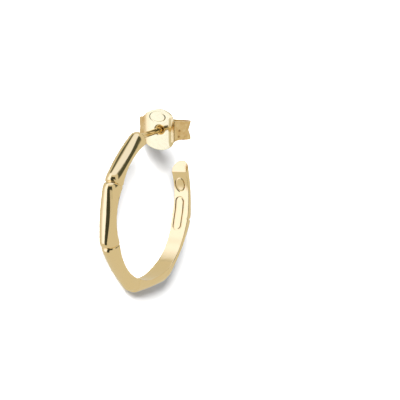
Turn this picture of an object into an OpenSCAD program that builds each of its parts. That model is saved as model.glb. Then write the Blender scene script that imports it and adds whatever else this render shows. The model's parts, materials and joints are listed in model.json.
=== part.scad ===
// Bamboo hoop earring with a straight post and a butterfly back.
// The pieces are drawn as the earring is worn and then laid on their side.
// Worn frame: +X runs along the post, away from the wearer's front,
// Y runs through the eye of the hoop, +Z is up, and the hoop's centre is zero.
// All sizes are in millimetres and all angles in degrees.

/* [Hoop] */
// Radius of the smooth inner face
inner_r = 8.6; // [8:0.1:10]
// Width of the inner face in the middle of a section
inner_w = 2.0; // [1.6:0.02:2.1]
// Width of the inner face at the grooves, where the band flares
node_w = 2.16; // [1.8:0.02:2.16]
// Height of the flat side walls under the dome
wall_h = 0.36; // [0.2:0.02:0.5]
// Radius of the ridge at the bottom of each groove
groove_r = 9.87; // [9.7:0.01:10]
// Length over which a bamboo section rounds off into its groove
shoulder_l = 0.95; // [0.5:0.05:1.5]
// Squareness of the rounded shoulders
shoulder_p = 2.2; // [1.6:0.1:4]
// Angle of the soldered end, from the post's direction
start_a = 100.1; // [95:0.1:110]
// Angle of the inner edge of the free tip, one turn on
tip_a = 382.2; // [375:0.1:386]
// Direction of the flat cut across the free tip
tip_cut_a = 57; // [40:1:70]
// How much lower the dome gets towards the free tip
tip_drop = 0.27; // [0:0.01:0.35]
// Angle over which it gets lower
tip_drop_a = 14; // [8:1:20]

/* [Post] */
// Radius of the post
post_r = 0.35; // [0.3:0.01:0.45]
// Height of the post's axis above the hoop's centre
post_z = 9.2; // [9:0.05:9.4]
// Place of the post's free end
post_end = 8.2; // [7.5:0.1:12]
// Depth of the post inside the hoop's end
post_root = 0.5; // [0.2:0.05:1]
// Distance from the free end to the far edge of the friction notch
notch_at = 1.75; // [1.5:0.05:2.1]
// Width of the friction notch
notch_w = 0.6; // [0.55:0.05:0.8]
// Depth of the friction notch
notch_d = 0.06; // [0.02:0.01:0.1]
// Length of the taper at the free end
tip_l = 0.25; // [0.1:0.05:0.4]

/* [Butterfly back] */
// Distance from the hoop's centre to the front of the disc
back_x = 3.3; // [2:0.05:5]
// Height of the round disc
disc_h = 5.1; // [4.5:0.05:6]
// Width of the round disc
disc_w = 4.9; // [4.5:0.05:5]
// Thickness of the sheet
sheet_t = 0.26; // [0.2:0.01:0.35]
// Height of the strip that forms the two scrolls
strip_h = 2.3; // [1.8:0.05:2.6]
// Distance from the post's axis to the fold where a wing leaves the disc
fold_y = 2.1; // [1.9:0.05:2.2]
// Outer radius of a scroll
scroll_r = 1.0; // [0.9:0.05:1.1]
// Distance from the front of the disc to the centre of a scroll
scroll_depth = 1.5; // [1.4:0.05:1.7]
// Distance from the post's axis to the centre of a scroll
scroll_y = 2.42; // [2.3:0.01:2.5]
// Outer radius of the curl that grips the post
curl_r = 0.5; // [0.4:0.05:0.6]
// Length of the straight lips beside the post
lip_l = 0.55; // [0.3:0.05:0.8]
// Gap between the post and what surrounds it
grip_gap = 0.05; // [0.02:0.01:0.08]
// Radius of the funnel's mouth around the hole
funnel_r = 0.72; // [0.6:0.02:0.9]
// Depth of the funnel
funnel_h = 0.3; // [0.2:0.02:0.4]
// Length of the collar behind the disc
collar_l = 0.34; // [0.2:0.02:0.5]

/* [Resting place] */
// Angle on the hoop where its side touches the surface it lies on
rest_a = 236; // [210:1:260]

/* [Hidden] */
$fn = 64;
over = 0.01;

// The bamboo sections, one row each, from the soldered end to the free tip.
// Columns: angle where the section ends, radius of its ridge, half its width.
SECTIONS = [
    [149.6, 9.60, 1.10],
    [198.0, 9.78, 1.13],
    [248.5, 9.44, 1.01],
    [294.0, 9.58, 1.01],
    [343.2, 9.57, 1.01],
    [391.5, 9.58, 1.01],
];
section_n = len(SECTIONS);
// Steps along a rounded shoulder, along a straight ridge and around the dome
shoulder_n = 4;
ridge_n = 7;
dome_n = 10;

function section_start(i) = i == 0 ? start_a : SECTIONS[i - 1][0];
function section_end(i) = SECTIONS[i][0];
function section_mid(i) = (section_start(i) + section_end(i)) / 2;
function section_half(i) = (section_end(i) - section_start(i)) / 2;
function ridge_r(i) = SECTIONS[i][1];
function half_w(i) = SECTIONS[i][2];
function mix(from, to, share) = from + (to - from) * share;

// Half the length of a section, and the height of its ends, along its own bar
function bar_half(i) = groove_r * sin(section_half(i));
function bar_end_h(i) = groove_r * cos(section_half(i));

// 1 on the straight ridge of a section, falling to 0 at its two grooves
function fullness(i, s) =
    let (x = max(0, min(1, (abs(s) - bar_half(i) + shoulder_l) / shoulder_l)))
    sqrt(max(0, 1 - pow(x, shoulder_p)));

// Half the width of the inner face at a place along a section
function inner_b(i, s) =
    mix(inner_w, node_w, pow(min(1, abs(s) / bar_half(i)), 3)) / 2;

// Radius of the top of the dome at a place along a section, lower near the tip
function top_r(i, s) =
    let (
        t = mix(bar_end_h(i), ridge_r(i), fullness(i, s)),
        a = section_mid(i) + atan2(s, t),
        near_tip = max(0, min(1, (a - tip_a + tip_drop_a) / tip_drop_a))
    )
    norm([s, t]) - tip_drop * pow(near_tip, 2);

// Places along a section where a ring is drawn, closer together on the shoulders
function ring_places(i) =
    let (h = bar_half(i), flat = h - shoulder_l)
    concat(
        [for (k = [0 : shoulder_n - 1]) -h + shoulder_l * (1 - cos(90 * k / shoulder_n))],
        [for (k = [0 : ridge_n]) -flat + 2 * flat * k / ridge_n],
        [for (k = [1 : shoulder_n - 1]) flat + shoulder_l * sin(90 * k / shoulder_n)]
    );

// One cross section as pairs of sideways place and radius: flat inner face,
// short side walls and a dome up to the ridge
function outline(foot_b, b, top) =
    let (h = min(wall_h, 0.6 * (top - inner_r)), dome = top - inner_r - h)
    concat(
        [[-foot_b, inner_r]],
        [for (k = [0 : dome_n]) [-b * cos(180 * k / dome_n),
                                 inner_r + h + dome * sin(180 * k / dome_n)]],
        [[foot_b, inner_r], [0, inner_r]]
    );

// A place on the hoop from an angle around it, a radius and a sideways place
function around(a, r, y) = [r * cos(a), y, r * sin(a)];

function ring(i, s) =
    let (
        f = fullness(i, s),
        a = section_mid(i) + atan2(s, mix(bar_end_h(i), ridge_r(i), f)),
        foot_b = inner_b(i, s)
    )
    [for (p = outline(foot_b, mix(foot_b, half_w(i), f), top_r(i, s)))
        around(a, p[1], p[0])];

// The last ring lies in the flat cut across the free tip
function cut_angle(r) =
    tip_cut_a + 360 + asin(inner_r * sin(tip_a - 360 - tip_cut_a) / r);
function tip_ring(i, s) =
    [for (p = outline(inner_b(i, s), half_w(i), top_r(i, s)))
        around(cut_angle(p[1]), p[1], p[0])];

// Rings stop short of the cut, so that they don't cross it
function ring_angle(i, s) = section_mid(i) + atan2(s, ridge_r(i));
tip_place = bar_half(section_n - 1) - shoulder_l;
RINGS = concat(
    [for (i = [0 : section_n - 1]) each [
        for (s = ring_places(i)) if (ring_angle(i, s) < tip_a - 1.5) ring(i, s)
    ]],
    [tip_ring(section_n - 1, tip_place)]
);
ring_n = len(RINGS);
side_n = len(RINGS[0]);
RING_POINTS = [for (one = RINGS) each one];

// Faces between neighbouring rings, two triangles for each cell
SIDE_FACES = [
    for (j = [0 : ring_n - 2]) each [
        for (k = [0 : side_n - 1]) each
            let (
                m = (k + 1) % side_n,
                p = j * side_n + k,
                q = j * side_n + m,
                u = p + side_n,
                v = q + side_n
            )
            [[p, u, v], [p, v, q]]
    ]
];
END_FACES = [
    for (k = [0 : side_n - 3]) each
        let (last = (ring_n - 1) * side_n + side_n - 1)
        [
            [side_n - 1, k, k + 1],
            [last, last - side_n + 2 + k, last - side_n + 1 + k]
        ]
];

// The scroll's centre behind the disc, and where the curl beside the post sits
scroll_x = back_x + scroll_depth;
scroll_back_x = scroll_x + scroll_r;
curl_x = scroll_back_x - curl_r;
hole_r = post_r + grip_gap;
curl_y = hole_r + curl_r;

// A wing runs straight on from its fold until it touches its scroll
fold_to_scroll = norm([scroll_depth, scroll_y - fold_y]);
slant_l = sqrt(pow(fold_to_scroll, 2) - pow(scroll_r, 2));
slant_a = atan2(scroll_depth, scroll_y - fold_y) - asin(scroll_r / fold_to_scroll);

// How the earring lies: its hoop touches with the side at rest_a, and the
// butterfly back touches with the lower corner of its far scroll
wall_r = inner_r + wall_h;
rest_dir = [cos(rest_a), 0, sin(rest_a)];
hoop_touch = wall_r * rest_dir + [0, half_w(2), 0];
scroll_touch = [scroll_x, scroll_y + scroll_r, post_z - strip_h / 2];
rest_reach = (hoop_touch - scroll_touch) * rest_dir;
rest_rise = scroll_touch[1] - hoop_touch[1];
rest_tilt = atan2(rest_rise, rest_reach);

// Rows of the turn that lays the earring down: +X follows the post, +Z is up
lay_z = -(cos(rest_tilt) * [0, 1, 0] + sin(rest_tilt) * rest_dir);
post_flat = [1, 0, 0] - lay_z[0] * lay_z;
lay_x = post_flat / norm(post_flat);
lay_y = cross(lay_z, lay_x);
lay = [lay_x, lay_y, lay_z];

// Outermost places of the parts, to find the box of the earring as it lies
function disc_edge(a, x) = [x, disc_w / 2 * cos(a), post_z + disc_h / 2 * sin(a)];
disc_step = 7.5;
DISC_POINTS = [for (a = [0 : disc_step : 360 - disc_step]) disc_edge(a, back_x)];
SCROLL_POINTS = [
    for (side = [-1, 1]) each [
        for (up = [-1, 1]) each [
            for (a = [-90 : 5 : 90])
                [scroll_x + scroll_r * sin(a),
                 side * (scroll_y + scroll_r * cos(a)),
                 post_z + up * strip_h / 2]
        ]
    ]
];
OUTER_POINTS = concat(RING_POINTS, DISC_POINTS, SCROLL_POINTS, [[post_end, 0, post_z]]);
LAID_POINTS = [for (p = OUTER_POINTS) lay * p];
function low(k) = min([for (p = LAID_POINTS) p[k]]);
function high(k) = max([for (p = LAID_POINTS) p[k]]);
origin = [(low(0) + high(0)) / 2, (low(1) + high(1)) / 2, low(2)];

// Turns a piece from the worn frame to where it lies, on z = 0 about the origin
module laid() {
    translate(-origin)
        multmatrix([
            [lay_x[0], lay_x[1], lay_x[2], 0],
            [lay_y[0], lay_y[1], lay_y[2], 0],
            [lay_z[0], lay_z[1], lay_z[2], 0],
            [0, 0, 0, 1]
        ])
            children();
}

// A round bar or ring along the post's axis, from one place to another
module along_post(from, to, r_from, r_to) {
    translate([from, 0, post_z])
        rotate([0, 90, 0])
            cylinder(h = to - from, r1 = r_from, r2 = r_to);
}

// Radius of the arc that hollows out the notch
notch_arc_r = (pow(notch_w / 2, 2) + pow(notch_d, 2)) / (2 * notch_d);

// Straight post soldered into the hoop's end, with a rounded notch and a tapered tip
module post() {
    root_x = post_z * cos(start_a) - post_root;
    taper_x = post_end - tip_l;
    difference() {
        along_post(root_x, taper_x, post_r, post_r);
        translate([post_end - notch_at + notch_w / 2, 0, post_z])
            rotate([0, 90, 0])
                rotate_extrude()
                    translate([post_r - notch_d + notch_arc_r, 0])
                        circle(notch_arc_r);
    }
    along_post(taper_x, post_end, post_r, post_r - tip_l / 2);
}

// Bamboo hoop in one piece with its post
module bamboo_hoop() {
    color("gold")
        laid()
            union() {
                polyhedron(points = RING_POINTS, faces = concat(SIDE_FACES, END_FACES));
                post();
            }
}

// Part of a flat ring between two angles
module ring_part(r, from, to) {
    intersection() {
        difference() {
            circle(r);
            circle(r - sheet_t);
        }
        polygon(concat([[0, 0]],
            [for (k = [0 : 8]) 1.5 * r * [cos(mix(from, to, k / 8)), sin(mix(from, to, k / 8))]]));
    }
}

// The bent strip of one wing, seen along the strip's edge
module wing_outline() {
    translate([back_x, 0])
        square([sheet_t, fold_y]);
    translate([back_x, fold_y])
        rotate(-slant_a)
            square([sheet_t, slant_l]);
    translate([scroll_x, scroll_y])
        ring_part(scroll_r, 0, 180 - slant_a);
    translate([scroll_back_x - sheet_t, curl_y])
        square([sheet_t, scroll_y - curl_y]);
    translate([curl_x, curl_y])
        ring_part(curl_r, -90, 0);
    translate([curl_x - lip_l, hole_r])
        square([lip_l, sheet_t]);
}

// A wing's strip at its full height
module wing() {
    translate([0, 0, post_z - strip_h / 2])
        linear_extrude(strip_h)
            wing_outline();
}

// The disc, cut straight where the wings fold away
module disc() {
    translate([back_x, 0, post_z])
        rotate([90, 0, 90])
            linear_extrude(sheet_t)
                intersection() {
                    polygon([for (a = [0 : disc_step : 360 - disc_step])
                        [disc_w / 2 * cos(a), disc_h / 2 * sin(a)]]);
                    square([2 * fold_y, disc_h], center = true);
                }
}

// Sprung ear nut: a round disc whose two wings scroll round to grip the post
module butterfly_back() {
    color("goldenrod")
        laid()
            difference() {
                union() {
                    disc();
                    wing();
                    mirror([0, 1, 0])
                        wing();
                    along_post(back_x + over, back_x + sheet_t + collar_l,
                               funnel_r + sheet_t / 2, hole_r + sheet_t);
                }
                along_post(back_x - 1, back_x + sheet_t + collar_l + over, hole_r, hole_r);
                along_post(back_x - over, back_x + funnel_h, funnel_r, hole_r);
            }
}

bamboo_hoop();
butterfly_back();
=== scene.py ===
# %% [markdown]
# # A bamboo hoop earring with a butterfly back
# A gold hoop cast as six bamboo sections carries a straight post, and a sprung
# ear nut slides on the post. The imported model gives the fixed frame: where each
# body is, and where the surface is that the earring lies on. Both visible pieces
# are modelled again here, finer than the solids, and then take their place.

import json
import math

import bmesh
import bpy
from mathutils import Matrix, Vector


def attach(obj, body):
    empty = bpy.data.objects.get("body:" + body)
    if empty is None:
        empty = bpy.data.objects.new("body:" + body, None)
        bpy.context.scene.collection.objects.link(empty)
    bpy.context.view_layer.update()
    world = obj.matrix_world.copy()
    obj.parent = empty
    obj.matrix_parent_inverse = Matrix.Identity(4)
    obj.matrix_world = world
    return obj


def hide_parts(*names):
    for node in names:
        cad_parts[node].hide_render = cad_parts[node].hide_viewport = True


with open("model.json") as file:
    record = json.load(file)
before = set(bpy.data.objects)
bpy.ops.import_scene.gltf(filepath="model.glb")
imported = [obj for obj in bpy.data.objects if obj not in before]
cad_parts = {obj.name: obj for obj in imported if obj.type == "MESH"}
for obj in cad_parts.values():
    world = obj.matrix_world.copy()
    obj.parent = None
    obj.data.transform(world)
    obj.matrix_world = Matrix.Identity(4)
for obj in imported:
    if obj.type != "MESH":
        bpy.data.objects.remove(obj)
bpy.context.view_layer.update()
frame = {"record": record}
MM = 0.001


# %% [markdown]
# ## From the worn earring to the lying one
# An earring is easiest to draw as it is worn: +X runs back along the post, Y runs
# through the hoop's eye, +Z is up and the hoop's centre is zero, in millimetres.
# It lies on its side, on the hoop's edge and on one wing of the back, so it leans
# by a few degrees. The object's own rotation could lay it down, but a finished
# piece keeps its place in its mesh, and its object stays unturned. So one matrix
# does the turn, the shift and the change to metres, and goes into the meshes. Its
# shift comes from the post's mount, whose place the record gives.

# %% Turn from worn to lying
# radius of the hoop's inner face, and height of its side walls
INNER_R, WALL_H = 8.6, 0.36
# height of the post over the hoop's centre, and the place of its free end
POST_Z, POST_END = 9.2, 8.2
MOUNT_PLACE = Vector((7.5, 0, POST_Z))
# the two places that touch the surface: on the hoop's side and on one wing
TOUCH_A, TOUCH_HALF_W = math.radians(236), 1.01
WING_TOUCH = Vector((4.8, 3.42, POST_Z - 1.15))

touch_dir = Vector((math.cos(TOUCH_A), 0, math.sin(TOUCH_A)))
hoop_touch = (INNER_R + WALL_H) * touch_dir + Vector((0, TOUCH_HALF_W, 0))
lean = math.atan2(WING_TOUCH.y - hoop_touch.y, (hoop_touch - WING_TOUCH).dot(touch_dir))

lay_z = -(math.cos(lean) * Vector((0, 1, 0)) + math.sin(lean) * touch_dir)
lay_x = (Vector((1, 0, 0)) - lay_z.x * lay_z).normalized()
lay = Matrix((lay_x, lay_z.cross(lay_x), lay_z))
mount = next(m for m in frame["record"]["mounts"] if m["name"] == "post_free_end")
shift = Vector(mount["pos_m"]) - MM * (lay @ MOUNT_PLACE)
LAID = Matrix.Translation(shift) @ (lay * MM).to_4x4()
print("lean in degrees:", round(math.degrees(lean), 2), "shift in m:", shift)

# %% [markdown]
# ## The camera
# The photograph was taken from the front, 30 degrees to the side and 12 degrees
# down, with a long lens: near and far parts of the hoop have the same scale. A
# camera far away with a narrow view does the same. The direction is given for the
# worn earring and turned with it, so the lying earring shows the same face, and
# the camera is still 26 degrees above the floor.

# %% Camera
SIDE_A, DOWN_A = math.radians(29.8), math.radians(11.8)
# width of the picture at the earring, and its middle to the right and upwards
FRAME_WIDTH, FRAME_CENTRE = 48.08, (6.502, 1.166)
CAMERA_DISTANCE = 1500.0
CLIP_FROM, CLIP_TO = 0.1, 20

look = Vector((math.cos(DOWN_A) * math.cos(SIDE_A), math.cos(DOWN_A) * math.sin(SIDE_A),
               -math.sin(DOWN_A)))
right = Vector((math.sin(SIDE_A), -math.cos(SIDE_A), 0))
above = right.cross(look)
eye = FRAME_CENTRE[0] * right + FRAME_CENTRE[1] * above - CAMERA_DISTANCE * look

camera = bpy.data.objects.new("camera", bpy.data.cameras.new("camera"))
bpy.context.scene.collection.objects.link(camera)
turn = Matrix((lay @ right, lay @ above, lay @ -look)).transposed()
camera.matrix_world = Matrix.Translation(LAID @ eye) @ turn.to_4x4()
camera.data.lens = camera.data.sensor_width * CAMERA_DISTANCE / FRAME_WIDTH
camera.data.clip_start, camera.data.clip_end = CLIP_FROM, CLIP_TO
bpy.context.scene.camera = camera
height = math.degrees(math.asin((lay @ -look).z))
print("camera above the floor in degrees:", round(height, 1))

# %% [markdown]
# ## The hoop's bamboo sections
# Bamboo goes round a corner only at its nodes, so a smoothly bent tube would look
# wrong. Each section is a straight bar with a flat inner face, low side walls and
# a domed back. It swells out of a groove over a short rounded shoulder, runs
# straight, and dips into the next groove, where the inner face flares a little.
# A fine nick runs on from each groove over the side walls.
# The table has one row for each section, from the soldered end to the free tip.
# It agrees with the part's source; only the ridges are a hundredth lower, so that
# this finer mesh stays inside the solid's box.

# %% Sections
# angles round the hoop: the soldered end, the free tip, the direction of its cut
START_A, TIP_A, TIP_CUT_A = (math.radians(a) for a in (100.1, 382.2, 57))
# radius at the bottom of the grooves; length of a shoulder and how full it is
GROOVE_R = 9.87
SHOULDER_L, SHOULDER_P = 0.95, 2.2
# angle where the section ends, radius of its ridge, half its width
SECTIONS = (
    (149.6, 9.59, 1.10),
    (198.0, 9.77, 1.13),
    (248.5, 9.43, 1.01),
    (294.0, 9.57, 1.01),
    (343.2, 9.56, 1.01),
    (391.5, 9.57, 1.01),
)
# half width of the inner face and how far it is pressed in: in the middle of each
# section, then at each groove, counting the soldered end as the first
MIDDLES = ((1.04, 0), (1.00, 0), (1.03, 0), (1.03, 0.14), (1.02, 0), (1.03, 0))
GROOVES = ((1.04, 0), (1.13, 0.08), (1.13, 0.08), (1.07, 0.2), (1.12, 0.1), (1.14, 0.1),
           (1.03, 0))
# how suddenly the flare comes; depth of a nick at the dome's edge, and its half length
FLARE_P = 2.5
NICK_D, NICK_L = 0.15, 0.075


def span(i):
    """Middle angle of a section, and half the length of its bar."""
    start = START_A if i == 0 else math.radians(SECTIONS[i - 1][0])
    half = (math.radians(SECTIONS[i][0]) - start) / 2
    return start + half, GROOVE_R * math.sin(half)


def nick(i, s):
    """Half the depth of the fine nick at the place s along a bar."""
    return NICK_D / 2 * math.exp(-((span(i)[1] - abs(s)) / NICK_L) ** 2)


def inner_face(i, s):
    """Radius and half width of the inner face at the place s along a bar."""
    near_groove = min(1, abs(s) / span(i)[1]) ** FLARE_P
    half_w, pressed = (middle + (groove - middle) * near_groove
                       for middle, groove in zip(MIDDLES[i], GROOVES[i + (s > 0)]))
    return INNER_R - pressed, half_w - nick(i, s)


def bar(i, s):
    """Height and half width of a section at the place s along its bar."""
    _, ridge_r, half_w = SECTIONS[i]
    _, length = span(i)
    end_h = math.sqrt(GROOVE_R ** 2 - length ** 2)
    x = min(1, max(0, (abs(s) - length + SHOULDER_L) / SHOULDER_L))
    full = math.sqrt(1 - x ** SHOULDER_P)
    foot = inner_face(i, s)[1]
    return end_h + (ridge_r - end_h) * full, foot + (half_w - foot) * full - nick(i, s)


for i in range(len(SECTIONS)):
    print("section", i, "is", round(2 * span(i)[1], 2), "mm long")

# %% [markdown]
# ## One cross section
# The outline has 96 points: a fine dome, because polished gold shows every
# corner in its reflections, side walls, rounded inner edges, and a flat inner
# face with enough points to carry the engraved stamps. A curve's bevel profile
# could draw it, but would be the same all the way round. So the outline is a rule
# from a point's number to its place, and the two halves mirror each other.

# %% Outline
# steps over the dome, down a side wall, round an inner edge and over the inner face
DOME_N, WALL_N, EDGE_N, FACE_N = 48, 4, 4, 32
FACE_FROM = DOME_N + WALL_N + EDGE_N
OUTLINE_N = FACE_FROM + FACE_N + EDGE_N + WALL_N
# radius of an inner edge, and the largest share of the thickness that is side wall
EDGE_R, WALL_SHARE = 0.07, 0.6


def outline(k, inner, half_w, top_r, trim=0.0):
    """Sideways place and radius of point k; trim draws the whole outline in."""
    if k > FACE_FROM + FACE_N // 2:
        side, radius = outline((DOME_N - k) % OUTLINE_N, inner, half_w, top_r, trim)
        return -side, radius
    inner_r, inner_b = inner[0] + trim, inner[1] - trim
    half_w, top_r = half_w - trim, top_r - trim
    wall_h = min(WALL_H + INNER_R - inner_r, WALL_SHARE * (top_r - inner_r))
    if k <= DOME_N:
        turn = math.pi * k / DOME_N
        dome_h = top_r - inner_r - wall_h
        return -half_w * math.cos(turn), inner_r + wall_h + dome_h * math.sin(turn)
    k -= DOME_N
    if k <= WALL_N:
        along = k / WALL_N
        return (half_w + (inner_b - half_w) * along,
                inner_r + wall_h + (EDGE_R - wall_h) * along)
    k -= WALL_N
    if k <= EDGE_N:
        turn = math.pi / 2 * k / EDGE_N
        return (inner_b - EDGE_R * (1 - math.cos(turn)),
                inner_r + EDGE_R * (1 - math.sin(turn)))
    return (inner_b - EDGE_R) * (1 - 2 * (k - EDGE_N) / FACE_N), inner_r


print("points on the outline:", OUTLINE_N)

# %% [markdown]
# ## Where the rings go
# The hoop is drawn as rings, one after the other. Even steps would be simpler, but
# too coarse in some places and wasteful in others. So the rings stand closer
# together on the rounded shoulders, and on the last two sections, whose inner
# faces carry the stamps. The free tip is cut at a slant, so the last rings lean over
# bit by bit until they lie in the cut, and five small ones round off its edge.
# Towards the tip the dome gets lower and the band a little wider, and the cut is
# a few degrees out of square, as a cut by hand is.

# %% Rings
# steps over a shoulder, and along the straight ridge of each section
SHOULDER_N, RIDGE_N = 16, (22, 22, 22, 22, 84, 84)
# steps that lean over and their length, then steps round the edge and its radius
LEAN_N, LEAN_L = 16, 1.3
ROUND_N, TIP_ROUND = 5, 0.06
# how much lower and wider the band gets, and over which angle before the tip
TIP_DROP, TIP_SPREAD, TIP_DROP_A = 0.27, 0.09, math.radians(14)
TIP_SKEW = math.tan(math.radians(5.5))
LAST = len(SECTIONS) - 1


def smooth(low, high, value):
    """0 below low, 1 above high, and a smooth step between them."""
    x = min(1, max(0, (value - low) / (high - low)))
    return x * x * (3 - 2 * x)


def places(i):
    """Places along a bar, from one groove to just before the next."""
    _, length = span(i)
    flat = length - SHOULDER_L
    rise = [flat + SHOULDER_L * math.sin(math.pi / 2 * k / SHOULDER_N)
            for k in range(SHOULDER_N + 1)]
    ridge = [flat * (2 * k / RIDGE_N[i] - 1) for k in range(1, RIDGE_N[i])]
    return [-s for s in reversed(rise)] + ridge + rise[:-1]


def towards_tip(angle):
    """0 on most of the hoop, growing to 1 at its free tip."""
    return min(1, max(0, (angle - TIP_A + TIP_DROP_A) / TIP_DROP_A)) ** 2


tip_mid, _ = span(LAST)
tip_s = SECTIONS[LAST][1] * math.tan(TIP_A - tip_mid)
# section, place along its bar, lean from upright (0) to the cut (1), trim
rings = [(0, -span(0)[1], 0.0, EDGE_R)]
rings += [(i, s, 0.0, 0.0) for i in range(LAST + 1) for s in places(i)
          if i < LAST or s < tip_s - LEAN_L]
rings += [(LAST, tip_s - LEAN_L + (LEAN_L - TIP_ROUND) * k / LEAN_N,
           smooth(0, LEAN_N, k), 0.0) for k in range(LEAN_N + 1)]
rings += [(LAST, tip_s - TIP_ROUND * (1 - math.sin(math.pi / 2 * k / ROUND_N)), 1.0,
           TIP_ROUND * (1 - math.cos(math.pi / 2 * k / ROUND_N)))
          for k in range(1, ROUND_N + 1)]
print("rings:", len(rings))

# %% [markdown]
# ## The stamps
# Inside the hoop, near the tip, two small frames are struck into the flat face:
# an oval one and a long one with round ends, both plain outlines. A stamp could
# be a bump in the material, but a real groove also shows in the mesh, so the
# face is pressed back along each frame's line by a few hundredths of a
# millimetre.

# %% Stamp grooves
STAMP_DEPTH, STAMP_LINE = 0.045, 0.075
# angle round the hoop, place across it, half length and half width of each frame
OVAL_A, OVAL_Y, OVAL_L, OVAL_W = math.radians(370.6), 0.07, 0.90, 0.62
BAR_A, BAR_Y, BAR_L, BAR_W = math.radians(346.5), 0.17, 1.97, 0.51
# keeps the divisions safe at the middle of an oval
TINY = 0.01


def groove(distance, depth, line):
    """Depth of a rounded groove at a distance from the middle of its line."""
    return depth * math.exp(-(distance / line) ** 2)


def oval_distance(x, y, half_l, half_w):
    """About how far a place is from the line of an oval."""
    size = math.hypot(x / half_l, y / half_w)
    slope = math.hypot(x / half_l ** 2, y / half_w ** 2) / max(size, TINY)
    return (size - 1) / max(slope, TINY)


def stamped(angle, y):
    """How deep the inner face is struck at an angle round the hoop."""
    oval = oval_distance(INNER_R * (angle - OVAL_A), y - OVAL_Y, OVAL_L, OVAL_W)
    along = max(0, abs(INNER_R * (angle - BAR_A)) - (BAR_L - BAR_W))
    frame_line = math.hypot(along, y - BAR_Y) - BAR_W
    return (groove(oval, STAMP_DEPTH, STAMP_LINE)
            + groove(frame_line, STAMP_DEPTH, STAMP_LINE))


print("stamp grooves are", STAMP_DEPTH, "mm deep")

# %% [markdown]
# ## Spin a circle, then shape it
# A circle spun about the hoop's axis gives a ring of clean quads in one step.
# Each vertex then knows from where it stands which ring and which point of the
# outline it is, and moves to its place by the rules above. Lofting between drawn
# curves would also work, but the spin keeps the mesh even and closed.

# %% Hoop mesh
SPIN_R, SPIN_ARC = 5.0, math.radians(300)
# a leaning ring's outline and its angles depend on each other, so both are worked
# out again in this many rounds
LEAN_ROUNDS = 4


def cut_angle(radius):
    """Angle at which the slanted cut meets a radius, one turn on."""
    reach = INNER_R * math.sin(TIP_A - math.tau - TIP_CUT_A) / radius
    return TIP_CUT_A + math.tau + math.asin(reach)


def hoop_place(j, k):
    """Worn place of point k on ring j."""
    i, s, leaning, trim = rings[j]
    mid, _ = span(i)
    tall, half_w = bar(i, s)
    base = angle = mid + math.atan2(s, tall)
    inner = inner_face(i, s)
    for _ in range(LEAN_ROUNDS if leaning else 1):
        near_tip = towards_tip(angle)
        top_r = tall / math.cos(angle - mid) - TIP_DROP * near_tip
        side, radius = outline(k, inner, half_w + TIP_SPREAD * near_tip, top_r, trim)
        angle = base + leaning * (cut_angle(radius) - TIP_SKEW * side / radius - TIP_A)
        tall, half_w = bar(i, tall * math.tan(angle - mid))
    if k > FACE_FROM and not trim:
        radius += stamped(angle, side)
    return Vector((radius * math.cos(angle), side, radius * math.sin(angle)))


hoop = bmesh.new()
bmesh.ops.create_circle(hoop, cap_ends=False, radius=1, segments=OUTLINE_N,
                        matrix=Matrix.Translation((SPIN_R, 0, 0)))
bmesh.ops.spin(hoop, geom=hoop.verts[:] + hoop.edges[:], cent=(0, 0, 0),
               axis=(0, -1, 0), angle=SPIN_ARC, steps=len(rings) - 1,
               use_merge=False, use_duplicate=False)
for v in hoop.verts:
    around = math.atan2(v.co.z, v.co.x) % math.tau
    j = round(around / SPIN_ARC * (len(rings) - 1)) % len(rings)
    out = math.hypot(v.co.x, v.co.z) - SPIN_R
    k = round(math.atan2(v.co.y, out) / math.tau * OUTLINE_N) % OUTLINE_N
    v.co = hoop_place(j, k)
print("hoop faces:", len(hoop.faces))

# %% [markdown]
# ## Close the tip, solder on the post
# The tip's open loop is filled and inset once, so that the flat cut stays flat
# when the mesh is shaded smooth. At the other end the post is drawn out of the
# hoop itself: a circle on the end face is bridged to the outline, then extruded
# row by row along the post. The first rows flare, as solder does. A boolean
# would join two shapes too, but leaves slivers that polished metal shows.

# %% Post
POST_R = 0.35
NOTCH_FROM, NOTCH_TO, NOTCH_D, NOTCH_N = 6.45, 7.05, 0.06, 8
# place from the root, radius, and how much the row leans with the end face
SOLDER_ROWS = ((0.0, 0.50, 1.0), (0.04, 0.44, 1.0), (0.1, 0.395, 0.8), (0.2, 0.364, 0.5),
               (0.35, 0.352, 0.2))
STRAIGHT_ROWS = (-1.1, 0.5, 2, 3.5, 5, NOTCH_FROM - 0.05)
# place and radius of the rows that round off the free end
END_ROWS = ((7.1, POST_R), (7.95, POST_R), (8.03, 0.342), (8.1, 0.31), (8.15, 0.27),
            (8.18, 0.23), (POST_END, 0.17))
# how far the rings inside the two flat end faces are set in
TIP_INSET, END_INSET = 0.04, 0.05

root_x = POST_Z / math.tan(START_A)
post_rows = [(root_x + x, radius, leaning) for x, radius, leaning in SOLDER_ROWS]
post_rows += [(x, POST_R, 0.0) for x in STRAIGHT_ROWS]
post_rows += [(NOTCH_FROM + (NOTCH_TO - NOTCH_FROM) * k / NOTCH_N,
               POST_R - NOTCH_D * (1 - (2 * k / NOTCH_N - 1) ** 2), 0.0)
              for k in range(NOTCH_N + 1)]
post_rows += [(x, radius, 0.0) for x, radius in END_ROWS]


def post_place(v, x, radius, leaning):
    """Place of a vertex on the row of the post at x."""
    turn = math.atan2(v.co.z - POST_Z, v.co.y)
    rise = radius * math.sin(turn)
    return Vector((x + leaning * rise / math.tan(START_A), radius * math.cos(turn),
                   POST_Z + rise))


def extrude_loop(mesh, edges, place):
    """Extrudes edges, moves each new vertex by a rule, and returns the new edges."""
    made = bmesh.ops.extrude_edge_only(mesh, edges=edges)["geom"]
    fresh = {g for g in made if isinstance(g, bmesh.types.BMVert)}
    for v in fresh:
        v.co = place(v)
    return [g for g in made
            if isinstance(g, bmesh.types.BMEdge) and fresh.issuperset(g.verts)]


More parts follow.
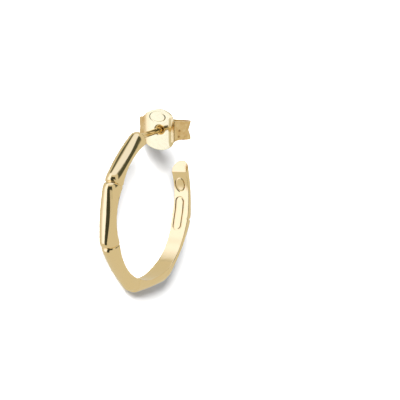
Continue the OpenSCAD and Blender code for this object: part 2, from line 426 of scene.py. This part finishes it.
open_edges = [e for e in hoop.edges if e.is_boundary]
tip_edges = [e for e in open_edges if e.verts[0].co.x > 0]
root_edges = [e for e in open_edges if e.verts[0].co.x < 0]
tip_face = bmesh.ops.edgeloop_fill(hoop, edges=tip_edges)["faces"]
bmesh.ops.inset_region(hoop, faces=tip_face, thickness=TIP_INSET, use_even_offset=True)

circle = bmesh.ops.create_circle(hoop, cap_ends=False, radius=1, segments=OUTLINE_N,
                                 matrix=Matrix.Translation((0, 0, POST_Z))
                                 @ Matrix.Rotation(math.pi / 2, 4, "Y"))["verts"]
for v in circle:
    v.co = post_place(v, *post_rows[0])
loop = [e for e in hoop.edges if e.is_wire]
bmesh.ops.bridge_loops(hoop, edges=root_edges + loop)
for row in post_rows[1:]:
    loop = extrude_loop(hoop, loop, lambda v: post_place(v, *row))
end_face = bmesh.ops.edgeloop_fill(hoop, edges=loop)["faces"]
bmesh.ops.inset_region(hoop, faces=end_face, thickness=END_INSET, use_even_offset=True)
bmesh.ops.recalc_face_normals(hoop, faces=hoop.faces)
print("hoop and post faces:", len(hoop.faces), "open edges:",
      sum(e.is_boundary for e in hoop.edges))

# %% [markdown]
# ## From a mesh to a piece
# Both pieces take the same last steps: the mesh is turned from the worn place to
# the lying one, all faces are shaded smooth, and the piece gets its name. This
# could be written out twice, but one small function treats both alike. The object
# itself stays at the origin, with its place in its mesh.

# %% Piece helper


def make_piece(mesh, name):
    """Lays the worn mesh down and returns it as an object."""
    bmesh.ops.transform(mesh, matrix=LAID, verts=mesh.verts)
    for face in mesh.faces:
        face.smooth = True
    data = bpy.data.meshes.new(name)
    mesh.to_mesh(data)
    mesh.free()
    piece = bpy.data.objects.new(name, data)
    bpy.context.scene.collection.objects.link(piece)
    return piece


hoop_piece = make_piece(hoop, "bamboo_hoop_with_post")
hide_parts("bamboo_hoop")
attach(hoop_piece, "earring")
print("hoop piece:", len(hoop_piece.data.polygons), "faces")

# %% [markdown]
# ## The butterfly back: its disc
# The ear nut is one strip of thin gold sheet with a round disc in its middle. The
# disc is pressed very slightly domed, and its hole is drawn in as a funnel with a
# short collar behind. A hole could be cut into a round plate, but would have no
# rings to bend into a funnel. So the mesh starts from a circle at the rim of the
# collar and is extruded outwards, ring by ring, until it reaches the disc's edge.
# Where the wings leave, that edge is a straight fold line.

# %% Disc outline
# place of the disc's front face along the post
BACK_X = 3.3
LEFT, RIGHT = 1, -1
# the oval's half width on each side and its half height; where the folds cut it off
HALF_P, HALF_Q = {LEFT: 2.95, RIGHT: 2.45}, 2.47
FOLD_P = {LEFT: 2.42, RIGHT: 2.10}
# how much the top stands out from the oval, and from which share of its height on
TOP_RISE, TOP_FROM = 0.07, 0.6
# steps along a fold line, and along the arc above or below
FOLD_N, ARC_N = 28, 52
DISC_N = 2 * (FOLD_N + ARC_N)
FOLD_TURN = {side: math.acos(FOLD_P[side] / HALF_P[side]) for side in FOLD_P}
FOLD_Q = {side: HALF_Q * math.sin(FOLD_TURN[side]) for side in FOLD_P}


def disc_edge(k):
    """Sideways place p and height q of point k on the edge of the disc."""
    k %= DISC_N
    lower = k > DISC_N // 2
    k = DISC_N - k if lower else k
    side = LEFT if k < DISC_N // 4 else RIGHT
    steps = k if side == LEFT else DISC_N // 2 - k
    if steps <= FOLD_N // 2:
        p, q = FOLD_P[side], FOLD_Q[side] * 2 * steps / FOLD_N
    else:
        share = (steps - FOLD_N // 2) / (ARC_N // 2)
        turn = FOLD_TURN[side] + (math.pi / 2 - FOLD_TURN[side]) * share
        p, q = HALF_P[side] * math.cos(turn), HALF_Q * math.sin(turn)
    if lower:
        return side * p, -q
    return side * p, q + TOP_RISE * (max(0, q / HALF_Q - TOP_FROM) / (1 - TOP_FROM)) ** 2


print("fold lines, half heights in mm:", [round(q, 2) for q in FOLD_Q.values()])

# %% [markdown]
# ## The disc's relief
# Seen from the front, the disc bulges a little towards the ear, more from top to
# bottom than across. On the side of the right wing, where the sheet was bent hard
# over the tool, a low rib steps out of it. On the left it rolls gently back into
# its wing. A plain oval frame is struck above the hole. All four are heights
# added to a flat disc. It could be sculpted too, but a sum of simple rules lets
# each of them be changed alone.

# %% Relief
# radii of the bulge, across and from top to bottom
ACROSS_R, UPRIGHT_R = 40.0, 30.0
# where the rib rises, how high, and where it fades above and below the post
RIB_FROM, RIB_TO, RIB_H = 1.22, 1.78, 0.30
RIB_FULL, RIB_END = 1.3, 2.0
# where the roll begins, and its radius
ROLL_FROM, ROLL_R = 1.5, 2.0
# middle of the struck frame, its half length and half width; its groove
FRAME_P, FRAME_Q, FRAME_L, FRAME_W = 0.257, 1.55, 1.08, 0.60
FRAME_DEPTH, FRAME_LINE = 0.03, 0.07
HOLE_R = 0.40
# radius and depth of the rings of the funnel, from the collar's rim outwards
FUNNEL = ((HOLE_R, 0.60), (HOLE_R, 0.50), (HOLE_R, 0.40), (0.405, 0.32), (0.425, 0.25),
          (0.46, 0.19), (0.505, 0.135), (0.555, 0.085), (0.61, 0.045), (0.67, 0.015),
          (0.74, 0.0))


def disc_x(p, q):
    """Depth of the disc's front face; the right wing is at negative p."""
    dome = p * p / (2 * ACROSS_R) + q * q / (2 * UPRIGHT_R)
    rise = min(1, max(0, (-p - RIB_FROM) / (RIB_TO - RIB_FROM)))
    rib = RIB_H * rise * (1 - smooth(RIB_FULL, RIB_END, abs(q)))
    roll = max(0, p - ROLL_FROM) ** 2 / (2 * ROLL_R)
    line = oval_distance(p - FRAME_P, q - FRAME_Q, FRAME_L, FRAME_W)
    return BACK_X + dome - rib + roll + groove(line, FRAME_DEPTH, FRAME_LINE)


print("rib's crest is at", round(disc_x(-FOLD_P[RIGHT], 0), 2), "mm")

# %% Disc mesh
DISC_RINGS = 44


def disc_place(k, ring):
    """Worn place of point k on a ring of the disc, from the collar to the edge."""
    edge = Vector(disc_edge(k))
    if ring < len(FUNNEL):
        radius, depth = FUNNEL[ring]
        p, q = edge.normalized() * radius
        return Vector((disc_x(p, q) + depth, p, POST_Z + q))
    along = (ring - len(FUNNEL) + 1) / (DISC_RINGS - len(FUNNEL))
    mouth = edge.normalized() * FUNNEL[-1][0]
    p, q = mouth.lerp(edge, along)
    return Vector((disc_x(p, q), p, POST_Z + q))


def turn_of(v):
    """Angle of a vertex round its circle, from 0 to a full turn."""
    return math.atan2(v.co.y, v.co.x) % math.tau


back = bmesh.new()
numbered = back.verts.layers.int.new("point")
bmesh.ops.create_circle(back, cap_ends=False, radius=1, segments=DISC_N)
for k, v in enumerate(sorted(back.verts, key=turn_of)):
    v[numbered] = k
    v.co = disc_place(k, 0)
loop = back.edges[:]
for ring in range(1, DISC_RINGS):
    loop = extrude_loop(back, loop, lambda v: disc_place(v[numbered], ring))
print("disc faces:", len(back.faces))

# %% [markdown]
# ## The wings
# Each wing is the same strip carried on: from the fold line it turns back, rolls
# round in a wide scroll, comes in behind the disc and curls once more, so that
# its straight lip presses on the post. A wing could be a piece of its own, but the
# real one is bent from the disc's sheet, and a seam would show. So it is extruded
# from the fold line along a path. The path is walked in steps, each of a length
# and a turn, like a wire bent over pegs. The strip narrows on the way and
# is pressed into a shallow channel, which stiffens it. The right wing is bent
# hard at its fold and then flat, the left one goes on from the disc's roll. What
# a wing still has of the disc's bulge fades out behind the fold, so that the two
# meet without a gap or a corner.

# %% Wing paths
# place of the lip beside the post, radius of the last curl, length of the lip
LIP_Y, CURL_R, LIP_L = HOLE_R, 0.5, 0.55
# length of a step in the bend, and the fewest of them; steps of the other stretches
BEND_STEP, BEND_N = 0.03, 3
FLAT_N, SCROLL_N, INWARDS_N, CURL_N, LIP_N = 10, 28, 8, 12, 4
# the disc's slope at its edge is taken over this short distance
SLOPE_STEP = 0.001


def wing_path(bend_r, bend_a, flat_l, scroll_r, side):
    """Steps of a wing as rows of place x, place p, turn and length walked."""
    p = FOLD_P[side]
    x = disc_x(side * p, 0)
    turn = math.atan2(x - disc_x(side * (p - SLOPE_STEP), 0), SLOPE_STEP)
    walked, rows = 0.0, []

    def walk(length, angle, steps):
        nonlocal x, p, turn, walked
        for _ in range(steps):
            turn += angle / steps / 2
            x += length / steps * math.sin(turn)
            p += length / steps * math.cos(turn)
            turn += angle / steps / 2
            walked += length / steps
            rows.append((x, p, turn, walked))

    bend = math.radians(bend_a) - turn
    walk(bend_r * bend, bend, max(BEND_N, round(bend_r * bend / BEND_STEP)))
    walk(flat_l, 0, FLAT_N)
    scroll = math.pi - turn
    walk(scroll_r * scroll, scroll, SCROLL_N)
    walk(p - LIP_Y - CURL_R, 0, INWARDS_N)
    walk(CURL_R * math.pi / 2, math.pi / 2, CURL_N)
    walk(LIP_L, 0, LIP_N)
    return rows


right_wing = wing_path(bend_r=0.22, bend_a=44, flat_l=1.22, scroll_r=0.96, side=RIGHT)
left_wing = wing_path(bend_r=1.4, bend_a=28, flat_l=0.54, scroll_r=1.05, side=LEFT)
for name, rows in (("right", right_wing), ("left", left_wing)):
    print(name, "wing reaches back to", round(max(r[0] for r in rows), 2), "mm and out to",
          round(max(r[1] for r in rows), 2), "mm")

# %% Wing mesh
# the disc's bulge fades out over this length, and the channel grows between these
BULGE_L, CHANNEL_FROM, CHANNEL_FULL = 0.8, 0.5, 2.6
# depth of the channel, and how flat its floor is across the strip
CHANNEL_D, CHANNEL_P = 0.26, 0.7
# how near to a fold line its vertices are
NEAR = 0.001
# length walked, half height, and height of the strip's middle over the post
RIGHT_STRIP = ((0.0, FOLD_Q[RIGHT], 0.0), (0.35, 1.20, 0.11), (0.8, 1.16, 0.155),
               (1.9, 1.12, 0.07), (5.0, 1.0, 0.0), (9.0, 0.9, 0.0))
LEFT_STRIP = ((0.0, FOLD_Q[LEFT], 0.0), (0.3, 1.30, 0.02), (1.0, 1.15, 0.02),
              (2.0, 1.03, 0.0), (5.0, 1.0, 0.0), (9.0, 0.9, 0.0))


def between(table, place):
    """Values of a table's columns at a place, in straight lines between its rows."""
    for low, high in zip(table, table[1:]):
        if place <= high[0]:
            share = (place - low[0]) / (high[0] - low[0])
            return [a + (b - a) * share for a, b in zip(low[1:], high[1:])]
    return table[-1][1:]


def bulge(side, across, walked):
    """How much of the disc's bulge is left on a wing, to meet the disc evenly."""
    fold_p, q = side * FOLD_P[side], FOLD_Q[side] * across
    return (disc_x(fold_p, q) - disc_x(fold_p, 0)) * (1 - smooth(0, BULGE_L, walked))


def wing_place(v, row, strip, side):
    """Worn place of a vertex on one row of a wing."""
    x, p, turn, walked = row
    half_h, middle = between(strip, walked)
    k = v[numbered] if side > 0 else DISC_N // 2 - v[numbered]
    k = (k + DISC_N // 2) % DISC_N - DISC_N // 2
    across = 2 * k / FOLD_N
    press = (CHANNEL_D * smooth(CHANNEL_FROM, CHANNEL_FULL, walked)
             * (1 - smooth(0, 1, abs(across)) ** CHANNEL_P))
    return Vector((x + press * math.cos(turn) + bulge(side, across, walked),
                   side * (p - press * math.sin(turn)),
                   POST_Z + middle + half_h * across))


def add_wing(mesh, rows, strip, side):
    """Extrudes one fold line of the disc along the path of its wing."""
    edges = [e for e in mesh.edges if e.is_boundary
             and all(abs(side * v.co.y - FOLD_P[side]) < NEAR for v in e.verts)]
    for row in rows:
        edges = extrude_loop(mesh, edges, lambda v: wing_place(v, row, strip, side))


add_wing(back, right_wing, RIGHT_STRIP, RIGHT)
add_wing(back, left_wing, LEFT_STRIP, LEFT)
bmesh.ops.recalc_face_normals(back, faces=back.faces)
top_face = max(back.faces, key=lambda f: f.calc_center_median().z)
if top_face.normal.x > 0:
    bmesh.ops.reverse_faces(back, faces=back.faces)
print("butterfly back faces:", len(back.faces))

# %% [markdown]
# ## Sheet thickness and edges
# The shape so far is the outer face of the sheet. Solidify gives it the real
# thickness inwards, and Bevel breaks the cut edges, as tumbling does. Both could
# be modelled by hand, but as modifiers each of them stays one number to change.

# %% Finish the back
SHEET_T = 0.26
# edges that are sharper than this are broken, how wide, and in how many steps
BROKEN_A, BROKEN_W, BROKEN_N = math.radians(50), 0.05, 3
back_piece = make_piece(back, "butterfly_back_sheet")
sheet = back_piece.modifiers.new("sheet_thickness", "SOLIDIFY")
sheet.thickness = SHEET_T * MM
sheet.offset = -1
sheet.use_even_offset = True
edge = back_piece.modifiers.new("tumbled_edges", "BEVEL")
edge.limit_method = "ANGLE"
edge.angle_limit = BROKEN_A
edge.width = BROKEN_W * MM
edge.segments = BROKEN_N
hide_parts("butterfly_back")
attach(back_piece, "back")
print("back piece:", len(back_piece.data.polygons), "faces before its thickness")

# %% [markdown]
# ## Nodes and colours
# Every node is added by one small function that makes it, sets it and links it.
# Colours are written as the sRGB hex values that a colour picker shows, and one
# function turns them to the linear values that Blender mixes. A Mix node takes
# two colours at its inputs 6 and 7, the share of the second at 0, and gives the
# mixture at its output 2. Patterns read an object's own coordinates, turned to
# millimetres, so that each has a real size.

# %% Helpers for materials
GOLD_YELLOW = "#FAE0AE"
# most values of a noise lie between these two
NOISE_LOW, NOISE_HIGH = 0.3, 0.7


def linear(hex_colour, strength=1.0):
    """Linear RGBA of an sRGB hex colour."""
    parts = [int(hex_colour[n:n + 2], 16) / 255 for n in (1, 3, 5)]
    bent = [c / 12.92 if c <= 0.04045 else ((c + 0.055) / 1.055) ** 2.4 for c in parts]
    return (*[strength * c for c in bent], 1.0)


def add_node(tree, kind, inputs=None, **settings):
    """Adds a node, sets it, and fills its inputs with values or links."""
    node = tree.nodes.new(kind)
    for name, value in settings.items():
        setattr(node, name, value)
    for name, value in (inputs or {}).items():
        if isinstance(value, bpy.types.NodeSocket):
            tree.links.new(value, node.inputs[name])
        else:
            node.inputs[name].default_value = value
    return node


def new_tree(owner):
    """Turns on an owner's nodes and empties them."""
    owner.use_nodes = True
    owner.node_tree.nodes.clear()
    return owner.node_tree


def place_in_mm(tree):
    """A piece's own coordinates, in millimetres."""
    place = add_node(tree, "ShaderNodeTexCoord").outputs["Object"]
    return add_node(tree, "ShaderNodeVectorMath", {0: place, 1: (1 / MM,) * 3},
                    operation="MULTIPLY").outputs[0]


print("14 carat gold, linear:", [round(c, 3) for c in linear(GOLD_YELLOW)])

# %% [markdown]
# ## Polished 14 carat gold
# Cast yellow gold, hand-polished: pale yellow, with reflections that are sharp
# but not quite straight, because a polishing wheel leaves soft waves about a
# millimetre long. Fine wheel marks, a few hundredths wide, change the gloss a
# little. They are too fine to be seen one by one at this size, so they are
# drawn about three times as coarse. The waves could be in the mesh as well, but a
# bump is enough for something that never shows in the outline.

# %% Polished gold
# length of the waves and width of the wheel marks, then their heights, in mm
WAVE_MM, MARK_MM = 1.1, 0.12
WAVE_H, MARK_H = 0.02, 0.002
# roughness between the marks and on them
POLISHED_LOW, POLISHED_HIGH = 0.05, 0.12


def polished_gold():
    """Gold of the hoop and its post: waved and marked by the polishing wheel."""
    material = bpy.data.materials.new("polished_14_carat_gold")
    tree = new_tree(material)
    in_mm = place_in_mm(tree)
    waves = add_node(tree, "ShaderNodeTexNoise",
                     {"Vector": in_mm, "Scale": 1 / WAVE_MM, "Detail": 1.0})
    marks = add_node(tree, "ShaderNodeTexNoise",
                     {"Vector": in_mm, "Scale": 1 / MARK_MM, "Detail": 3.0})
    gloss = add_node(tree, "ShaderNodeMapRange",
                     {"Value": marks.outputs["Fac"], "From Min": NOISE_LOW,
                      "From Max": NOISE_HIGH, "To Min": POLISHED_LOW,
                      "To Max": POLISHED_HIGH})
    soft = add_node(tree, "ShaderNodeBump",
                    {"Strength": 0.5, "Distance": WAVE_H * MM,
                     "Height": waves.outputs["Fac"]})
    fine = add_node(tree, "ShaderNodeBump",
                    {"Strength": 0.15, "Distance": MARK_H * MM,
                     "Height": marks.outputs["Fac"], "Normal": soft.outputs["Normal"]})
    shader = add_node(tree, "ShaderNodeBsdfPrincipled",
                      {"Base Color": linear(GOLD_YELLOW), "Metallic": 1.0,
                       "Roughness": gloss.outputs["Result"],
                       "Normal": fine.outputs["Normal"]})
    add_node(tree, "ShaderNodeOutputMaterial", {"Surface": shader.outputs["BSDF"]})
    return material


hoop_piece.data.materials.append(polished_gold())
print("material:", hoop_piece.data.materials[0].name)

# %% [markdown]
# ## Pressed gold sheet
# The back is stamped from rolled sheet and tumbled, so it is a little softer in
# gloss than the hoop. Its wings are drawn round a tool, which leaves a fine grain,
# small pits and uneven patches of a darker, warmer yellow; the middles of the pits
# are coloured brown as painted shade. The disc stays smooth and pale, but gets
# painted shade too, a darker yellow where it turns into the rib and the roll. Two
# masks keep them apart. Both measure how far a place is from the post, across the
# disc: the marks begin at the folds, and the disc's painted shade grows towards the
# rib and the roll. Masks could also be painted by hand, but a distance needs no
# picture and has sharp, known limits.

# %% Pressed gold
# Width of the grain, spacing of the pits, size of the patches. Real grain is about
# 0.1 mm wide and real pits about 0.25 mm apart: too fine to show in the picture, so
# both are drawn about three times as coarse.
GRAIN_MM, PIT_MM, PATCH_MM = 0.3, 0.7, 0.5
# height of the grain and depth of the pits, in mm
RELIEF_H = 0.02
# floor and rim of a pit, from its middle, as shares of the spacing
PIT_FLOOR, PIT_RIM = 0.05, 0.28
# where across the disc the marks and its painted shade begin, and where they are full
MARKS_FROM, MARKS_FULL = 2.05, 2.3
DISC_SHADE_FROM, DISC_SHADE_FULL = 1.2, 2.1
# share of the marks that is left on the disc
DISC_MARKS = 0.1
# roughness between the grain and on it
PRESSED_LOW, PRESSED_HIGH = 0.10, 0.19
# the disc's pale yellow, and the darker yellow of its painted shade
DISC_PALE, DISC_SHADED = "#F4E5BA", "#F1D69E"
# pale and darker yellow of the wings' random patches, and the brown of the painted shade
# in the pits
WING_PALE, WING_DEEP, PIT_SHADE = "#FFEABA", "#E2B06A", "#A98042"


def pressed_gold():
    """Gold of the back: a smooth disc with painted shade near its rib and roll, and wings
    marked by the forming tool, with painted shade in their pits.
    """
    material = bpy.data.materials.new("tumbled_14_carat_gold_sheet")
    tree = new_tree(material)
    in_mm = place_in_mm(tree)
    across = lay @ Vector((0, 1, 0))
    sideways = add_node(tree, "ShaderNodeVectorMath", {0: in_mm, 1: across},
                        operation="DOT_PRODUCT").outputs["Value"]
    from_post = add_node(tree, "ShaderNodeMath", {0: sideways, 1: shift.dot(across) / MM},
                         operation="SUBTRACT").outputs[0]
    distance = add_node(tree, "ShaderNodeMath", {0: from_post},
                        operation="ABSOLUTE").outputs[0]
    on_wings = add_node(tree, "ShaderNodeMapRange",
                        {"Value": distance, "From Min": MARKS_FROM, "From Max": MARKS_FULL,
                         "To Min": DISC_MARKS}).outputs["Result"]
    # painted shade on the disc, growing towards the rib and the roll
    disc_shade = add_node(tree, "ShaderNodeMapRange",
                      {"Value": distance, "From Min": DISC_SHADE_FROM,
                       "From Max": DISC_SHADE_FULL}).outputs["Result"]
    patches = add_node(tree, "ShaderNodeTexNoise",
                       {"Vector": in_mm, "Scale": 1 / PATCH_MM, "Detail": 2.0})
    worn_yellow = add_node(tree, "ShaderNodeMix",
                           {0: patches.outputs["Fac"], 6: linear(WING_PALE),
                            7: linear(WING_DEEP)}, data_type="RGBA").outputs[2]
    grain = add_node(tree, "ShaderNodeTexNoise",
                     {"Vector": in_mm, "Scale": 1 / GRAIN_MM, "Detail": 2.0})
    pits = add_node(tree, "ShaderNodeTexVoronoi", {"Vector": in_mm, "Scale": 1 / PIT_MM})
    hollow = add_node(tree, "ShaderNodeMapRange",
                      {"Value": pits.outputs["Distance"], "From Min": PIT_FLOOR,
                       "From Max": PIT_RIM})
    # painted shade: the middles of the pits are brown
    pit_shaded = add_node(tree, "ShaderNodeMix",
                      {0: hollow.outputs["Result"], 6: linear(PIT_SHADE), 7: worn_yellow},
                      data_type="RGBA").outputs[2]
    relief = add_node(tree, "ShaderNodeBump",
                      {"Strength": on_wings, "Distance": RELIEF_H * MM,
                       "Height": grain.outputs["Fac"]})
    dents = add_node(tree, "ShaderNodeBump",
                     {"Strength": on_wings, "Distance": RELIEF_H * MM,
                      "Height": hollow.outputs["Result"],
                      "Normal": relief.outputs["Normal"]})
    gloss = add_node(tree, "ShaderNodeMapRange",
                     {"Value": grain.outputs["Fac"], "From Min": NOISE_LOW,
                      "From Max": NOISE_HIGH, "To Min": PRESSED_LOW,
                      "To Max": PRESSED_HIGH})
    # the disc's colour with its painted shade mixed in
    disc_shaded_yellow = add_node(tree, "ShaderNodeMix", {0: disc_shade, 6: linear(DISC_PALE),
                           7: linear(DISC_SHADED)}, data_type="RGBA").outputs[2]
    tint = add_node(tree, "ShaderNodeMix", {0: on_wings, 6: disc_shaded_yellow, 7: pit_shaded},
                    data_type="RGBA").outputs[2]
    shader = add_node(tree, "ShaderNodeBsdfPrincipled",
                      {"Base Color": tint, "Metallic": 1.0,
                       "Roughness": gloss.outputs["Result"],
                       "Normal": dents.outputs["Normal"]})
    add_node(tree, "ShaderNodeOutputMaterial", {"Surface": shader.outputs["BSDF"]})
    return material


back_piece.data.materials.append(pressed_gold())
print("material:", back_piece.data.materials[0].name)

# %% [markdown]
# ## The floor
# A plain white table, painted matt, and wide enough to fill the picture in every
# view from above; only a level view shows its far edge. One flat face is enough.
# A curved backdrop would hide that edge, but from one side only.

# %% Floor
# half the table's width, in metres
FLOOR_HALF = 3
floor_mesh = bmesh.new()
bmesh.ops.create_grid(floor_mesh, x_segments=1, y_segments=1, size=FLOOR_HALF)
floor_data = bpy.data.meshes.new("white_table")
floor_mesh.to_mesh(floor_data)
floor_mesh.free()
floor = bpy.data.objects.new("white_table", floor_data)
bpy.context.scene.collection.objects.link(floor)

table_white = bpy.data.materials.new("matt_white_table")
tree = new_tree(table_white)
paint = add_node(tree, "ShaderNodeBsdfPrincipled",
                 {"Base Color": linear("#F2F2F2"), "Roughness": 0.9,
                  "Specular IOR Level": 0.1})
add_node(tree, "ShaderNodeOutputMaterial", {"Surface": paint.outputs["BSDF"]})
floor.data.materials.append(table_white)
print("floor is", 2 * FLOOR_HALF, "m wide")

# %% [markdown]
# ## Light tent with cards
# Polished gold has no look of its own: it shows what stands around it. A
# jeweller's photographer puts it in a tent of warm white cloth, lets white light
# in from one side, softer round the window's edge, and from above, and stands
# black cards beside it, which draw the dark lines that give the metal its shape.
# Here the tent is the world's light, and each card is a soft-edged window in
# direction. Real lamps and cards would do it too, but would also light the table.
# The directions are those of the worn earring, because the cards were set up for
# it: `side` is counted from the front, positive towards the camera's side, and
# `rise` upwards. A later card covers the earlier ones.

# %% Tent and cards
TENT_CLOTH = ("#FFFCEB", 0.69)
# side from and to, rise from and to, softness of both, in degrees; colour, level
CARDS = {
    "window_glow": (-72, -40, -25, 46, 16, 6, "#EDEEFF", 1.15),
    "window": (-57, -22, -24.5, 46, 4, 5.5, "#DFE8FF", 1.6),
    "window_top": (-88, -30, 40, 78, 34, 14, "#DFE8FF", 1.6),
    "roof": (-200, 200, 62, 100, 4, 4, "#E2EBFF", 1.25),
    "black_gap": (-21, 17, -45, 10, 3, 3, "#F2FFE0", 0.06),
    "black_beside": (-14, 50, 5, 42, 4, 4, "#F2FFE0", 0.06),
    "dim_back": (-190, -112, 8, 60, 24, 14, "#FFFCEB", 0.66),
    "black_flag": (90, 125, 16, 70, 5, 5, "#F2FFE0", 0.09),
    "black_edge": (-114, -98, 38, 56, 4, 4, "#F2FFE0", 0.12),
}


def window(tree, value, low, high, edge):
    """1 where the value is between low and high, with soft edges."""
    up = add_node(tree, "ShaderNodeMapRange", {"Value": value, "From Min": low - edge,
                  "From Max": low + edge}, interpolation_type="SMOOTHSTEP")
    down = add_node(tree, "ShaderNodeMapRange", {"Value": value, "From Min": high - edge,
                    "From Max": high + edge, "To Min": 1.0, "To Max": 0.0},
                    interpolation_type="SMOOTHSTEP")
    return add_node(tree, "ShaderNodeMath", {0: up.outputs["Result"],
                    1: down.outputs["Result"]}, operation="MULTIPLY").outputs[0]


def degrees(tree, operation, inputs):
    """An angle from a trigonometric node, in degrees."""
    angle = add_node(tree, "ShaderNodeMath", inputs, operation=operation).outputs[0]
    return add_node(tree, "ShaderNodeMath", {0: angle}, operation="DEGREES").outputs[0]


tent = bpy.data.worlds.new("light_tent")
bpy.context.scene.world = tent
tree = new_tree(tent)
toward = add_node(tree, "ShaderNodeTexCoord").outputs["Generated"]
worn = add_node(tree, "ShaderNodeMapping", {"Vector": toward,
                "Rotation": lay.transposed().to_euler()}, vector_type="VECTOR").outputs[0]
back_to_front = add_node(tree, "ShaderNodeVectorMath", {0: worn, 1: (-1, -1, 1)},
                         operation="MULTIPLY").outputs[0]
part = add_node(tree, "ShaderNodeSeparateXYZ", {0: back_to_front}).outputs
side = degrees(tree, "ARCTAN2", {0: part["Y"], 1: part["X"]})
rise = degrees(tree, "ARCSINE", {0: part["Z"]})
seen = add_node(tree, "ShaderNodeRGB").outputs[0]
seen.default_value = linear(*TENT_CLOTH)
for name, (start, end, low, high, side_edge, rise_edge, colour, level) in CARDS.items():
    card = add_node(tree, "ShaderNodeMath",
                    {0: window(tree, side, start, end, side_edge),
                     1: window(tree, rise, low, high, rise_edge)},
                    operation="MULTIPLY").outputs[0]
    seen = add_node(tree, "ShaderNodeMix", {0: card, 6: seen, 7: linear(colour, level)},
                    data_type="RGBA", label=name).outputs[2]
print("cards:", list(CARDS))

# %% [markdown]
# ## Light on the table
# If the cards lit the table as well, it would be grey and patchy, so only the
# gold's reflections see them. The table gets its light from a wide lamp, up and
# to the left in the picture, which throws the soft shadow down and to the right,
# and from a weak even fill, which keeps that shadow grey.

# %% Fill and lamp
FILL_LEVEL = 0.40
# how far the lamp stands above and to the left of the line to the camera
LAMP_UP, LAMP_LEFT = 0.44, 0.14
LAMP_POWER, LAMP_WIDTH = 21, math.radians(36)
lamp_from = (lay @ (-look + LAMP_UP * above - LAMP_LEFT * right)).normalized()
cards = add_node(tree, "ShaderNodeBackground", {"Color": seen})
fill = add_node(tree, "ShaderNodeBackground", {"Color": linear("#FFFFFF"),
                                               "Strength": FILL_LEVEL})
ray = add_node(tree, "ShaderNodeLightPath").outputs["Is Glossy Ray"]
both = add_node(tree, "ShaderNodeMixShader",
                {0: ray, 1: fill.outputs[0], 2: cards.outputs[0]})
add_node(tree, "ShaderNodeOutputWorld", {"Surface": both.outputs[0]})

lamp = bpy.data.objects.new("wide_lamp", bpy.data.lights.new("wide_lamp", "SUN"))
bpy.context.scene.collection.objects.link(lamp)
lamp.data.energy = LAMP_POWER
lamp.data.angle = LAMP_WIDTH
lamp.rotation_mode = "QUATERNION"
lamp.rotation_quaternion = lamp_from.to_track_quat("Z", "Y")
lamp.visible_glossy = False
floor.visible_glossy = False
bpy.context.scene.view_settings.view_transform = "Standard"
print("lamp stands", round(math.degrees(math.asin(lamp_from.z))), "degrees up")
